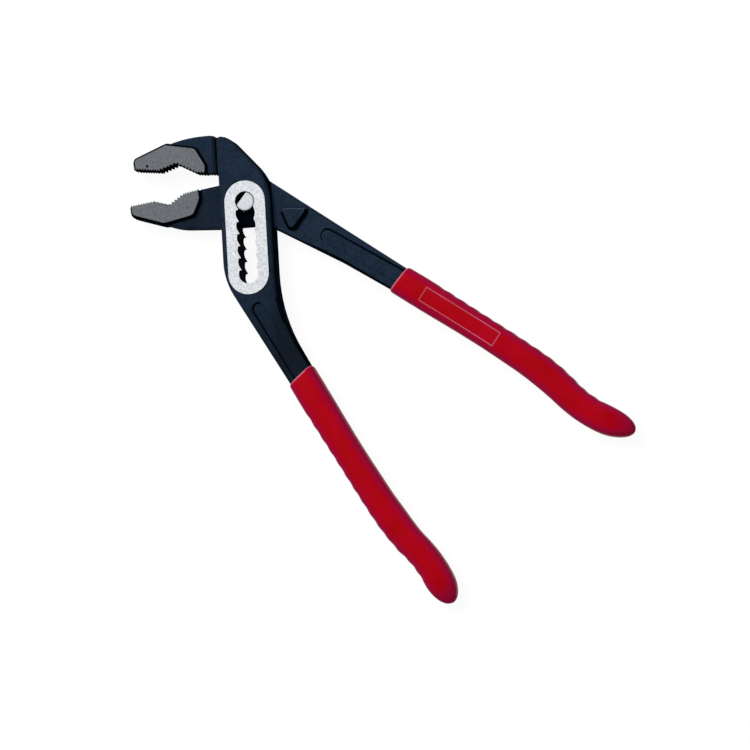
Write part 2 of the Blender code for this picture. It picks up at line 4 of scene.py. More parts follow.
import bmesh
import bpy
from bpy.props import FloatProperty, FloatVectorProperty, IntProperty, PointerProperty
from bpy.types import Operator, Panel, PropertyGroup
from mathutils import Matrix, Vector


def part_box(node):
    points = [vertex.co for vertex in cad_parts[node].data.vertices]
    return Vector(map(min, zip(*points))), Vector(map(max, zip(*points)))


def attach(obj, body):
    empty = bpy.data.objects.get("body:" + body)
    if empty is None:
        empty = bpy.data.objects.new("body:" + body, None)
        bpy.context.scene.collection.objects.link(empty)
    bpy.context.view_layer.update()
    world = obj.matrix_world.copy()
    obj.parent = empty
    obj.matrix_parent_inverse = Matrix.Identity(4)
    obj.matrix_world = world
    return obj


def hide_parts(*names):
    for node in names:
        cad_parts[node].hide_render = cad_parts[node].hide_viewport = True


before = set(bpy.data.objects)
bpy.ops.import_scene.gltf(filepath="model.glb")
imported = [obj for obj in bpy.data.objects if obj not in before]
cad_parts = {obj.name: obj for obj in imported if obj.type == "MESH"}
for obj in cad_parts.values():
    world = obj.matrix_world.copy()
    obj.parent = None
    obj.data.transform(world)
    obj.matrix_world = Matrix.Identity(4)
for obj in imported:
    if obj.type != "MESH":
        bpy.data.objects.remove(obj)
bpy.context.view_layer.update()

bl_info = {
    "name": "Water pump pliers",
    "version": (1, 0, 0),
    "blender": (4, 5, 0),
    "location": "3D View > Sidebar > Pliers",
    "description": "Builds a pair of slip-joint pliers with dipped grips, piece by piece",
    "category": "Object",
}

MM = 0.001
PIN_LOW, PIN_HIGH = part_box("hinge_pin")
PIN_AXIS = (PIN_LOW + PIN_HIGH) / 2
MIDDLE_Z = PIN_AXIS.z
OUTER_LOW, OUTER_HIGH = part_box("outer_lever")
TOOL_HEIGHT = OUTER_HIGH.z - OUTER_LOW.z
BOX_HALF_WIDTH = 12.0 * MM
SLOT_HALF_WIDTH = 6.4 * MM
SLOT_LENGTH = 33.6 * MM
# What counts as one place and as one flat face when a steel piece's triangles are joined up
MERGE_DISTANCE = 0.002 * MM
FLAT_ANGLE = math.radians(0.4)

# How far the jaw faces, the stop, the neck, the webs, the panels and the rounded edges lie from the middle of
# the tool's thickness, and the slack with which a face is looked up by that
LAND_RISE = 5.2 * MM
STOP_RISE = 5.25 * MM
NECK_RISE = 2.65 * MM
WEB_RISE = 3.25 * MM
PANEL_RISE = 3.6 * MM
EDGE_RISE = 1.8 * MM
RISE_SLACK = 0.1 * MM
# The upright part of the normal of a face that counts as level, as nearly level and as plumb
LEVEL = 0.97
NEARLY_LEVEL = 0.9
PLUMB = 0.05
# Directions in which the shaded sides face: away from the main light, and down the picture
AWAY_FROM_LIGHT = Vector((0.8, -0.6, 0))
DOWN_PICTURE = Vector((0.3, -0.95, 0))

# Places on the steel and the grips' mouths are measured from the pin's axis.
# Corners of the bite lines, with each run's tooth depth and how much deeper its roots are drawn
UPPER_BITE = (
    ((-52.89 * MM, 19.50 * MM), 0.35 * MM, 0.50 * MM), ((-39.50 * MM, 17.79 * MM), 0.7 * MM, 0.32 * MM),
    ((-31.55 * MM, 20.41 * MM), 0.7 * MM, 0.28 * MM), ((-22.78 * MM, 15.48 * MM), 0.35 * MM, 0.50 * MM),
    ((-10.26 * MM, 13.75 * MM), 0.35 * MM, 0),
)
LOWER_BITE = (
    ((-18.63 * MM, 8.42 * MM), 0.35 * MM, 0.50 * MM), ((-29.16 * MM, 6.52 * MM), 0.7 * MM, 0.32 * MM),
    ((-36.02 * MM, 2.07 * MM), 0.7 * MM, 0.28 * MM), ((-43.04 * MM, 4.20 * MM), 0.35 * MM, 0.50 * MM),
    ((-56.38 * MM, 2.67 * MM), 0.35 * MM, 0),
)
# What is drawn deeper lies further in than the tips, and no further than this share of the tooth depth
TIP_BAND = 0.03 * MM
ROOT_REACH = 1.15
# The upper jaw lies left of its X and above its Y, and the lower jaw left of its X, with its teeth left of the root
UPPER_JAW_X = -BOX_HALF_WIDTH + 0.2 * MM
UPPER_JAW_Y = 8 * MM
LOWER_JAW_X = -BOX_HALF_WIDTH - 1.5 * MM
JAW_ROOT_X = -18.5 * MM
# Corners of the stop, as forged and as drawn here
STOP_CORNERS = (
    ((19.47 * MM, -5.6 * MM), (28.3 * MM, -6.1 * MM), (23.1 * MM, -14.8 * MM)),
    ((17.45 * MM, -5.25 * MM), (27.3 * MM, -6.2 * MM), (20.85 * MM, -13.65 * MM)),
)
# Where the handle begins down the slotted lever, where the sunken panels begin, down it and across the inner one,
# and how their rims are drawn
HANDLE_START = SLOT_LENGTH + 10 * MM
OUTER_PANEL_START = SLOT_LENGTH + 14 * MM
INNER_PANEL_START = 33 * MM
PANEL_LEAN = 0.35 * MM
PANEL_BEVEL = 0.55 * MM
RIM_ANGLE = math.radians(60)
# Painted shade on the blued skin, which fades darker: axis, start, end, and the share of its colour that is left
OUTER_SHADE_FADES = (("Y", -38 * MM, -62 * MM, 0.55), ("X", 8 * MM, 11.5 * MM, 0.6))
INNER_SHADE_FADES = (("X", 10 * MM, -14 * MM, 0.6),)
# Painted shade: dark bands in the corner of the step beside the box: X, half width
STEP_SHADE_BANDS = ((-13.4 * MM, 0.9 * MM), (-13.4 * MM, 1.4 * MM))
# Test marks on the jaw faces: place, radius, strength
JAW_MARKS = (((-45.15 * MM, 20.45 * MM), 0.68 * MM, 1.0), ((-27.0 * MM, -0.35 * MM), 0.6 * MM, 0.3))

# A grip's centre line: its mouth, heading, length, closed end, bends of (share, degrees), which side faces away
# from the other handle, and the slant of its mouth
OUTER_LINE = {
    "mouth": (20.7 * MM, -81.9 * MM), "heading": -62.5, "length": 126.2 * MM, "cap": 13.0 * MM,
    "bends": ((0.52, 2.3), (0.17, 5.0), (0.06, 7.3), (0.14, -16.5), (0.11, 0.0)), "outward": -1, "slant": 12.0,
}
INNER_LINE = {
    "mouth": (69.1 * MM, -41.8 * MM), "heading": -35.5, "length": 130.2 * MM, "cap": 16.0 * MM,
    "bends": ((0.34, -0.9), (0.2, -2.2), (0.18, -10.4), (0.2, 24.6), (0.08, 0.0)), "outward": 1, "slant": 7.0,
}
GRIP_WIDTH_SHARES = ((0, 1.02), (0.08, 1.03), (0.35, 0.98), (0.5, 1), (0.62, 1.03), (0.78, 0.98), (1, 0.98))
# How finely the centre line, skin, closed end and bore are stepped, and what is left open before the end is merged
LINE_STEP = 1.0 * MM
SECTION_STEP = 0.95 * MM
CAP_STEPS = 18
BORE_STEPS = 24
END_HOLE = 0.02 * MM
# The mouth's slant fades over its length, and its lip is rounded over its own
MOUTH_FADE = 14.0 * MM
LIP_LENGTH = 1.4 * MM
LIP_STEPS = (0, 0.08, 0.25, 0.55, 1)
LIP_INSET = 0.5 * MM
# The lip's painted highlight reaches this far from the mouth
LIP_HIGHLIGHT_REACH = LIP_LENGTH * 0.45
SKIN_FLAT = 0.62 * MM
# The tang that fills a grip's bore, and the room round it
TANG_WIDTH = 12.0 * MM
TANG_END_WIDTH = 8.0 * MM
TANG_HEIGHT = 9.2 * MM
TANG_CORNER = 1.7 * MM
FIT_GAP = 0.3 * MM
END_WALL = 12.0 * MM
# The raised outline on the straight inner grip: two corners from its mouth, its section, the cuts in each of its
# sides, and the height from which it is laid on
FRAME_CORNERS = ((13.6 * MM, -3.6 * MM), (54.3 * MM, 3.6 * MM))
FRAME_WIDTH = 0.42 * MM
FRAME_HEIGHT = 0.25 * MM
FRAME_SINK = 0.05 * MM
FRAME_BEVEL = 0.09 * MM
FRAME_CUTS = 39
FRAME_DROP = 9 * MM

# Soft lights: name, place, size, share of the main light's power
LAMPS = (("main_light", (-0.75, 0.85, 1.55), 1.1, 1.0), ("side_light", (1.3, 0.5, 1.1), 0.9, 0.05))
FLOOR_SIZE = 6.0
FLOOR_Z = -0.05 * MM


class ForgingSettings(PropertyGroup):
    """Finishes of the forged and ground steel."""

    blued_colour: FloatVectorProperty(
        name="Blued steel", description="Colour of the blue-black forged skin",
        default=(0.0060, 0.0162, 0.0315), min=0, max=1, size=3, subtype="COLOR",
    )
    # The dark finish of the teeth and the slot's walls, also laid on shaded side walls as painted shade
    cut_and_shade_colour: FloatVectorProperty(
        name="Cut steel", description="Colour of the teeth, the slot's walls and other cut sides",
        default=(0.0012, 0.0026, 0.0050), min=0, max=1, size=3, subtype="COLOR",
    )
    # Painted shade: the colour that the blued skin is darkened to by position
    painted_shade_colour: FloatVectorProperty(
        name="Darkened skin", description="Colour that the blued skin fades to on its shaded parts",
        default=(0.0008, 0.0022, 0.0048), min=0, max=1, size=3, subtype="COLOR",
    )
    land_colour: FloatVectorProperty(
        name="Jaw faces", description="Colour of the ground faces of both jaws",
        default=(0.079, 0.087, 0.096), min=0, max=1, size=3, subtype="COLOR",
    )
    ring_colour: FloatVectorProperty(
        name="Bright ring", description="Colour of the ground ring round the slot",
        default=(0.58, 0.60, 0.625), min=0, max=1, size=3, subtype="COLOR",
    )
    smooth_angle: FloatProperty(
        name="Smooth below", description="Edges sharper than this stay crisp",
        default=math.radians(34), min=0, max=math.pi, subtype="ANGLE",
    )


class GripSettings(PropertyGroup):
    """Sizes and colour of the dipped grips."""

    width: FloatProperty(
        name="Width", description="Width of a grip across its handle", default=13.7 * MM, min=0.001,
        unit="LENGTH", subtype="DISTANCE",
    )
    height: FloatProperty(
        name="Height", description="Height of a grip through the tool's thickness", default=13.1 * MM, min=0.001,
        unit="LENGTH", subtype="DISTANCE",
    )
    squareness: FloatProperty(
        name="Squareness", description="Corner profile of the section: 0.5 is round, more is squarer",
        default=0.648, min=0.5, max=0.9, subtype="FACTOR",
    )
    corner_segments: IntProperty(
        name="Corner steps", description="Faces round each corner of the section", default=12, min=4, max=32,
    )
    rib_pitch: FloatProperty(
        name="Rib pitch", description="Distance from one shallow wave to the next", default=6.85 * MM, min=0.001,
        unit="LENGTH", subtype="DISTANCE",
    )
    rib_depth: FloatProperty(
        name="Rib depth", description="Depth of the shallow waves on the outer side", default=0.28 * MM, min=0,
        unit="LENGTH", subtype="DISTANCE",
    )
    rib_start: FloatProperty(
        name="Rib start", description="Distance from the mouth to the first wave", default=16.5 * MM, min=0,
        unit="LENGTH", subtype="DISTANCE",
    )
    vinyl_colour: FloatVectorProperty(
        name="Vinyl", description="Colour of the dipped vinyl", default=(0.465, 0.0004, 0.0080),
        min=0, max=1, size=3, subtype="COLOR",
    )
    # Pale pink painted on the lip as a painted highlight, and on the raised outline as partly worn pale paint, partly
    # painted highlight
    pale_highlight_and_paint_colour: FloatVectorProperty(
        name="Thin vinyl", description="Colour that the vinyl tends to where it is thin",
        default=(0.75, 0.30, 0.40), min=0, max=1, size=3, subtype="COLOR",
    )
    # How far the lip is painted pale, as a painted highlight
    lip_highlight_share: FloatProperty(
        name="Pale lip", description="How far the lip goes to the colour of thin vinyl", default=0.5, min=0, max=1,
        subtype="FACTOR",
    )
    # How far the raised outline is painted pale: partly worn pale paint, partly painted highlight
    outline_paleness: FloatProperty(
        name="Pale outline", description="How far the raised outline goes to the colour of thin vinyl", default=0.42,
        min=0, max=1, subtype="FACTOR",
    )


class StudioSettings(PropertyGroup):
    """Camera, light and floor."""

    aim: FloatVectorProperty(
        name="Aim", description="Point that the camera looks at", default=(-4.3484 * MM, -4.8965 * MM, 6.75 * MM),
        size=3, unit="LENGTH", subtype="TRANSLATION",
    )
    back: FloatVectorProperty(
        name="Backwards", description="Direction from the aim to the camera", default=(0.201990, -0.130688, 0.970630),
        size=3, subtype="DIRECTION",
    )
    up: FloatVectorProperty(
        name="Up", description="Direction of the picture's upper side", default=(0.083960, 0.989760, 0.115790),
        size=3, subtype="DIRECTION",
    )
    distance: FloatProperty(
        name="Distance", description="From the aim to the camera", default=3.0, min=0.1, unit="LENGTH",
        subtype="DISTANCE",
    )
    lens: FloatProperty(
        name="Lens", description="Focal length on a 36 mm sensor", default=316.70, min=10, unit="CAMERA",
    )
    key_power: FloatProperty(
        name="Main light", description="Power of the main soft light", default=24.0, min=0, unit="POWER",
    )
    fill_strength: FloatProperty(
        name="Room light", description="Strength of the even light from all round", default=0.35, min=0,
    )
    floor_glow: FloatProperty(
        name="Floor glow", description="Strength of the floor's own even white", default=1.05, min=0,
    )
    floor_glow_share: FloatProperty(
        name="Glow share", description="Share of the glow in what is seen of the floor; the rest shows shadows",
        default=0.88, min=0, max=1, subtype="FACTOR",
    )
    floor_seen: FloatProperty(
        name="Seen floor", description="Brightness of the matt floor as it is seen", default=0.93, min=0, max=1,
    )
    floor_lit: FloatProperty(
        name="Bouncing floor", description="Brightness of the matt floor for the light that it throws back",
        default=0.32, min=0, max=1,
    )


# ---------------- modelling by hand


def put_down_all():
    """Leaves edit mode and lets go of everything."""
    if bpy.context.object and bpy.context.object.mode != "OBJECT":
        bpy.ops.object.mode_set(mode="OBJECT")
    bpy.ops.object.select_all(action="DESELECT")


def pick_up(piece):
    """Makes a piece the only one held."""
    put_down_all()
    piece.select_set(True)
    bpy.context.view_layer.objects.active = piece


def open_mesh():
    """The mesh in edit mode, for moving and choosing by place."""
    return bmesh.from_edit_mesh(bpy.context.object.data)


def enter_edit(piece):
    """Opens a piece with all of its mesh chosen."""
    pick_up(piece)
    bpy.ops.object.mode_set(mode="EDIT")
    bpy.ops.mesh.select_all(action="SELECT")


def leave_edit(piece):
    bmesh.update_edit_mesh(piece.data)
    bpy.ops.object.mode_set(mode="OBJECT")


def chosen_box():
    """The low and high corners of the chosen part of the mesh."""
    chosen = [vertex.co for vertex in open_mesh().verts if vertex.select]
    low = Vector(min(place[axis] for place in chosen) for axis in range(3))
    high = Vector(max(place[axis] for place in chosen) for axis in range(3))
    return low, high


def apply_modifier(piece, kind, **settings):
    """Adds a modifier with its settings and applies it."""
    pick_up(piece)
    modifier = piece.modifiers.new(kind.title(), kind)
    for name, value in settings.items():
        setattr(modifier, name, value)
    bpy.ops.object.modifier_apply(modifier=modifier.name)


def eased(shares, place):
    """The value at a place among (place, value) shares, eased from each to the next."""
    for (start, low), (end, high) in zip(shares, shares[1:]):
        if place <= end:
            part = max(place - start, 0) / (end - start)
            return low + (high - low) * part * part * (3 - 2 * part)
    return shares[-1][1]


def merged_copy(node_name, piece_name):
    """A copy of a steel piece whose triangles are joined up, for smooth shading and several finishes."""
    piece = bpy.data.objects.new(piece_name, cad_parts[node_name].data.copy())
    piece.data.name = piece_name
    bpy.context.scene.collection.objects.link(piece)
    piece.data.materials.clear()
    pick_up(piece)
    bpy.ops.mesh.customdata_custom_splitnormals_clear()
    enter_edit(piece)
    bpy.ops.mesh.remove_doubles(threshold=MERGE_DISTANCE)
    bpy.ops.mesh.dissolve_degenerate(threshold=MERGE_DISTANCE)
    bpy.ops.mesh.select_all(action="SELECT")
    bpy.ops.mesh.dissolve_limited(angle_limit=FLAT_ANGLE)
    leave_edit(piece)
    return piece


def smooth_steel(piece):
    """Shades rounded edges smooth and keeps flat faces flat."""
    pick_up(piece)
    bpy.ops.object.shade_smooth_by_angle(angle=bpy.context.scene.pliers_forging.smooth_angle)
    apply_modifier(piece, "WEIGHTED_NORMAL", keep_sharp=True, weight=80)


def give_finishes(piece, finishes, choose):
    """Lists the finishes on a piece and gives each face the one that its place and normal call for."""
    order = list(finishes)
    for name in order:
        piece.data.materials.append(finishes[name])
    for face in piece.data.polygons:
        face.material_index = order.index(choose(face.center, face.normal))


def shaded_side(normal):
    """Whether a side wall faces away from the main light, where the dark finish is laid as painted shade."""
    return abs(normal.z) < 0.35 and normal.dot(AWAY_FROM_LIGHT) > 0.05


def is_land(rise, normal):
    """Whether a face is a ground jaw face."""
    return rise > LAND_RISE - RISE_SLACK and abs(normal.z) > NEARLY_LEVEL


def cut_across(piece, place, direction):
    """Divides the faces along a plane, so that the finish can change there."""
    enter_edit(piece)
    bpy.ops.mesh.bisect(plane_co=place, plane_no=direction, use_fill=False)
    leave_edit(piece)


def reshape_stop(piece):
    """Draws the raised stop to its three corners, with the foot of its walls."""
    (first, second, third), (new_first, new_second, new_third) = STOP_CORNERS
    was = Matrix((Vector(second) - Vector(first), Vector(third) - Vector(first))).transposed()
    now = Matrix((Vector(new_second) - Vector(new_first), Vector(new_third) - Vector(new_first))).transposed()
    change = now @ was.inverted()
    enter_edit(piece)
    mesh = open_mesh()
    top = {vertex for vertex in mesh.verts if abs(vertex.co.z - MIDDLE_Z) > STOP_RISE and vertex.co.x > PIN_AXIS.x}
    walls = {face for vertex in top for face in vertex.link_faces if abs(face.normal.z) < LEVEL}
    for vertex in top | {corner for face in walls for corner in face.verts}:
        place = vertex.co.xy - PIN_AXIS.xy - Vector(first)
        vertex.co.xy = PIN_AXIS.xy + Vector(new_first) + change @ place
    leave_edit(piece)


def draw_teeth_deeper(piece, line):
    """Draws the tooth roots along a bite line further into the jaw, and leaves the tooth tips."""
    enter_edit(piece)
    mesh = open_mesh()
    for (start, depth, extra), (end, _, _) in zip(line, line[1:]):
        start, end = Vector(start), Vector(end)
        run = (end - start).normalized()
        inward = Vector((-run.y, run.x))
        for vertex in mesh.verts:
            place = vertex.co.xy - PIN_AXIS.xy - start
            along, into = place.dot(run), place.dot(inward)
            if 0 < along < (end - start).length and TIP_BAND < into < depth * ROOT_REACH:
                vertex.co += (inward * extra * min(into / depth, 1)).to_3d()
    leave_edit(piece)


def soften_panel_rims(piece, inside):
    """Bevels the sharp rim of each sunken panel, so that it slopes like a forged edge."""
    enter_edit(piece)
    bpy.ops.mesh.select_mode(type="EDGE")
    bpy.ops.mesh.select_all(action="DESELECT")
    mesh = open_mesh()
    rims = []
    for edge in mesh.edges:
        middle = (edge.verts[0].co + edge.verts[1].co) / 2
        if inside(middle) and edge.is_manifold and edge.is_convex and edge.calc_face_angle() > RIM_ANGLE:
            edge.select = True
            rims.append(edge)
    outward = {}
    for vertex in {corner for edge in rims for corner in edge.verts}:
        walls = [face.normal for face in vertex.link_faces if abs(face.normal.z) < 0.5]
        outward[vertex] = -sum(walls, Vector()).normalized() if walls else Vector()
    for vertex, direction in outward.items():
        vertex.co += direction * PANEL_LEAN
    bmesh.update_edit_mesh(piece.data)
    bpy.ops.mesh.bevel(affect="EDGES", offset=PANEL_BEVEL, segments=2, profile=0.5, clamp_overlap=False)
    bpy.ops.mesh.select_mode(type="VERT")
    leave_edit(piece)


# ---------------- finishes


class Finish:
    """A node tree that is built up from the object's own coordinates."""

    def __init__(self, name, colour, roughness, metallic=0.0, specular=0.5):
        self.material = bpy.data.materials.new(name)
        self.material.use_nodes = True
        self.material.diffuse_color = (*colour, 1)
        self.tree = self.material.node_tree
        self.tree.nodes.clear()
        self.shader = self.feed(self.add("ShaderNodeBsdfPrincipled"), Base_Color=(*colour, 1), Roughness=roughness,
                                Metallic=metallic, Specular_IOR_Level=specular)
        self.feed(self.add("ShaderNodeOutputMaterial"), Surface=self.shader.outputs["BSDF"])
        self.place = self.add("ShaderNodeTexCoord").outputs["Object"]
        self.normal = None

    def add(self, kind, **settings):
        node = self.tree.nodes.new(kind)
        for name, value in settings.items():
            setattr(node, name, value)
        return node

    def put(self, socket, value):
        """Links an output to a socket, or sets the socket to a plain value."""
        if isinstance(value, bpy.types.NodeSocket):
            self.tree.links.new(value, socket)
        else:
            socket.default_value = value

    def feed(self, node, **values):
        """Links or sets a node's inputs, named with underscores for spaces."""
        for name, value in values.items():
            self.put(node.inputs[name.replace("_", " ")], value)
        return node

    def reckon(self, operation, *values):
        """The result of one operation on outputs or plain numbers."""
        node = self.add("ShaderNodeMath", operation=operation)
        for socket, value in zip(node.inputs, values):
            self.put(socket, value)
        return node.outputs[0]

    def mapped(self, centre=(0, 0, 0), turn=0.0, stretch=(1, 1, 1)):
        """The object's coordinates, centred, turned and stretched for one pattern."""
        centred = self.feed(self.add("ShaderNodeMapping"), Vector=self.place, Location=[-value for value in centre])
        turned = self.feed(self.add("ShaderNodeMapping"), Vector=centred.outputs[0], Rotation=(0, 0, -turn),
                           Scale=stretch)
        return turned.outputs[0]

    def noise(self, scale, detail=3.0, roughness=0.5, where=None):
        node = self.feed(self.add("ShaderNodeTexNoise"), Vector=where or self.mapped(), Scale=scale, Detail=detail,
                         Roughness=roughness)
        return node.outputs["Fac"]

    def between(self, value, low, high, start=0.3, end=0.7):
        """Goes from low to high as the value goes from start to end, and no further."""
        node = self.feed(self.add("ShaderNodeMapRange"), Value=value, From_Min=start, From_Max=end, To_Min=low,
                         To_Max=high)
        return node.outputs["Result"]

    def tint(self, share, first, second):
        """A colour that goes from the first to the second as the share goes from 0 to 1."""
        node = self.add("ShaderNodeMix", data_type="RGBA", blend_type="MIX")
        self.put(node.inputs[0], share)
        for socket, colour in ((node.inputs[6], first), (node.inputs[7], second)):
            self.put(socket, (*colour, 1) if isinstance(colour, tuple) else colour)
        return node.outputs[2]

    def colour(self, value):
        self.feed(self.shader, Base_Color=value)

    def roughness(self, value):
        self.feed(self.shader, Roughness=value)

    def specular(self, value):
        self.feed(self.shader, Specular_IOR_Level=value)

    def relief(self, height, depth, strength=1.0):
        """Adds a layer of bumps of a depth in metres over those already there."""
        node = self.feed(self.add("ShaderNodeBump"), Height=height, Distance=depth, Strength=strength)
        if self.normal:
            self.feed(node, Normal=self.normal)
        self.normal = node.outputs["Normal"]
        self.feed(self.shader, Normal=self.normal)

    def spot(self, centre, radius):
        """1 inside a small round mark and 0 outside it."""
        apart = self.add("ShaderNodeVectorMath", operation="DISTANCE")
        self.put(apart.inputs[0], self.place)
        self.put(apart.inputs[1], centre)
        return self.between(apart.outputs["Value"], 1.0, 0.0, radius * 0.7, radius * 1.2)


def scaled(colour, factor):
    """A colour times a factor, and no brighter than white."""
    return tuple(min(value * factor, 1.0) for value in colour)


def blued_forging(settings, name, fades, bands=()):
    """Blue-black forged skin: faint cloudy oxide, fine grit, a satin surface, and darker where it is shaded."""
    base = tuple(settings.blued_colour)
    finish = Finish(name, base, 0.46, specular=0.035)
    clouds = finish.between(finish.noise(150, 5, 0.7), 0.0, 1.0, 0.36, 0.64)
    grit = finish.between(finish.noise(1900, 2, 0.6), 0.0, 1.0, 0.42, 0.75)
    warm = (base[0] * 1.75, base[1] * 1.15, base[2] * 1.25)
    cloudy = finish.tint(clouds, scaled(base, 0.55), warm)
    skin = finish.tint(grit, cloudy, scaled(base, 2.3))
    parts = finish.feed(finish.add("ShaderNodeSeparateXYZ"), Vector=finish.mapped())
    # Painted shade: the skin darkens along each fade
    for axis, start, end, share in fades:
        pin = PIN_AXIS["XYZ".index(axis)]
        dark = finish.between(parts.outputs[axis], 0.0, 1.0 - share, pin + start, pin + end)
        skin = finish.tint(dark, skin, tuple(settings.painted_shade_colour))
    # Painted shade: dark bands in the crease beside the step
    for middle, half_width in bands:
        beside = finish.reckon("COMPARE", parts.outputs["X"], PIN_AXIS.x + middle, half_width)
        skin = finish.tint(beside, skin, scaled(base, 0.4))
    finish.colour(skin)
    finish.roughness(finish.between(finish.noise(420, 3), 0.38, 0.56))
    finish.relief(finish.noise(1500, 3, 0.6), 0.05 * MM, 0.55)
    finish.relief(finish.noise(210, 2), 0.10 * MM, 0.35)
    return finish.material


def cut_and_shaded_steel(settings):
    """Dark oiled steel of the teeth and the slot's walls, also laid as painted shade on the sides of the raised faces
    and other walls that face away from the light.
    """
    base = tuple(settings.cut_and_shade_colour)
    finish = Finish("cut_and_shaded_steel", base, 0.6, specular=0.0)
    streaks = finish.noise(900, 2, 0.6, finish.mapped(stretch=(1, 1, 0.12)))
    finish.colour(finish.tint(finish.between(streaks, 0.0, 1.0), scaled(base, 0.7), scaled(base, 1.8)))
    finish.roughness(finish.between(finish.noise(700, 2), 0.42, 0.6))
    finish.relief(streaks, 0.04 * MM, 0.6)
    return finish.material


def ground_land_and_highlight(settings):
    """Grey ground jaw face: fine grain, faint grinding lines and a small test mark. Also laid on the stop's upper bevel
    as a painted highlight.
    """
    base = tuple(settings.land_colour)
    finish = Finish("ground_land_and_highlight", base, 0.5, metallic=0.25, specular=0.3)
    grain = finish.between(finish.noise(1900, 3, 0.75), 0.0, 1.0, 0.36, 0.64)
    lines = finish.noise(700, 2, 0.5, finish.mapped(turn=math.radians(8), stretch=(0.15, 2.2, 1)))
    broad = finish.tint(finish.between(lines, 0.0, 1.0), scaled(base, 0.72), scaled(base, 0.8))
    grey = finish.tint(grain, broad, scaled(base, 1.5))
    marks = 0.0
    for (x, y), radius, strength in JAW_MARKS:
        mark = finish.spot((PIN_AXIS.x + x, PIN_AXIS.y + y, MIDDLE_Z + LAND_RISE), radius)
        marks = finish.reckon("MAXIMUM", marks, finish.between(mark, 0.0, strength, 0.0, 1.0))
    finish.colour(finish.tint(marks, grey, scaled(base, 0.05)))
    finish.specular(finish.between(marks, 0.3, 0.0, 0.0, 1.0))
    finish.roughness(finish.between(finish.noise(900, 2), 0.42, 0.58))
    finish.relief(finish.noise(2600, 2, 0.7), 0.02 * MM, 0.5)
    return finish.material


def ground_ring(settings):
    """Bright ground ring: pale and matte with a fine speckle and crossing grinding marks."""
    base = tuple(settings.ring_colour)
    finish = Finish("ground_ring", base, 0.5, metallic=0.35, specular=0.3)
    speckle = finish.between(finish.noise(1100, 4, 0.8), 0.0, 1.0, 0.38, 0.62)
    blotches = finish.noise(420, 3, 0.7)
    broad = finish.tint(finish.between(blotches, 0.0, 1.0, 0.36, 0.64), scaled(base, 0.95), scaled(base, 1.14))
    finish.colour(finish.tint(speckle, scaled(base, 0.72), broad))
    finish.roughness(finish.between(finish.noise(800, 2), 0.42, 0.6))
    finish.relief(finish.noise(1700, 3, 0.75), 0.02 * MM, 0.5)
    return finish.material


def turned_end(settings):
    """The pin's ground end, with faint turning marks round its axis."""
    base = scaled(tuple(settings.ring_colour), 1.08)
    finish = Finish("turned_end", base, 0.48, metallic=0.15, specular=0.15)
    centre = (PIN_AXIS.x, PIN_AXIS.y, 0)
    rings = finish.feed(
        finish.add("ShaderNodeTexWave", wave_type="RINGS", rings_direction="Z"),
        Vector=finish.mapped(centre), Scale=260.0, Distortion=1.2, Detail=1.0,
    ).outputs["Fac"]
    speckle = finish.between(finish.noise(1500, 3, 0.7), 0.0, 1.0, 0.35, 0.7)
    finish.colour(finish.tint(speckle, scaled(base, 0.74), scaled(base, 1.12)))
    finish.roughness(finish.between(finish.noise(700, 2), 0.36, 0.52))
    finish.relief(rings, 0.015 * MM, 0.5)
    return finish.material


def dipped_vinyl(settings, name="dipped_vinyl", paler=0.0):
    """Soft red vinyl: half gloss, faintly uneven from dipping, more crimson on its sides as a painted reflection, and
    paler by a share for the lip's painted highlight and the outline's pale paint and highlight.
    """
    base = tuple(value + (thin - value) * paler for value, thin in zip(settings.vinyl_colour, settings.pale_highlight_and_paint_colour))
    finish = Finish(name, base, 0.34, specular=0.022)
    pools = finish.between(finish.noise(70, 3, 0.5), 0.0, 1.0)
    deep = (base[0] * 0.92, base[1] * 0.7, base[2] * 0.45)
    cool = (base[0] * 1.06, base[1] * 1.2, base[2] * 1.5)
    # Painted reflection: the sides, which face less straight up, are tinted crimson
    crimson = (base[0] * 0.86, base[1] + 0.003, base[2] + 0.034)
    facing = finish.add("ShaderNodeTexCoord").outputs["Normal"]
    upward = finish.feed(finish.add("ShaderNodeSeparateXYZ"), Vector=facing).outputs["Z"]
    sides = finish.between(finish.reckon("ABSOLUTE", upward), 1.0, 0.0, 0.86, 0.998)
    finish.colour(finish.tint(sides, finish.tint(pools, deep, cool), crimson))
    finish.roughness(finish.between(finish.noise(260, 3), 0.26, 0.42))
    finish.relief(finish.noise(90, 2), 0.12 * MM, 0.25)
    finish.relief(finish.noise(1600, 2, 0.6), 0.012 * MM, 0.5)
    return finish.material


def kept(name, make, *arguments):
    """A finish that is made the first time it is asked for."""
    return bpy.data.materials.get(name) or make(*arguments)


def steel_finishes(settings, name, fades, bands=()):
    """The finishes of a lever. Its blued skin has a name of its own, for its own fades and bands."""
    return {
        "blued": blued_forging(settings, name, fades, bands),
        "cut_and_shade": kept("cut_and_shaded_steel", cut_and_shaded_steel, settings),
        "land_and_highlight": kept("ground_land_and_highlight", ground_land_and_highlight, settings),
        "ring": kept("ground_ring", ground_ring, settings),
    }


def vinyl_finishes(settings):
    """The finishes of a grip's skin and of its lip, whose paler finish is a painted highlight."""
    skin = kept("dipped_vinyl", dipped_vinyl, settings)
    lip = kept("lip_highlight_vinyl", dipped_vinyl, settings, "lip_highlight_vinyl", settings.lip_highlight_share)
    return skin, lip


# ---------------- grips


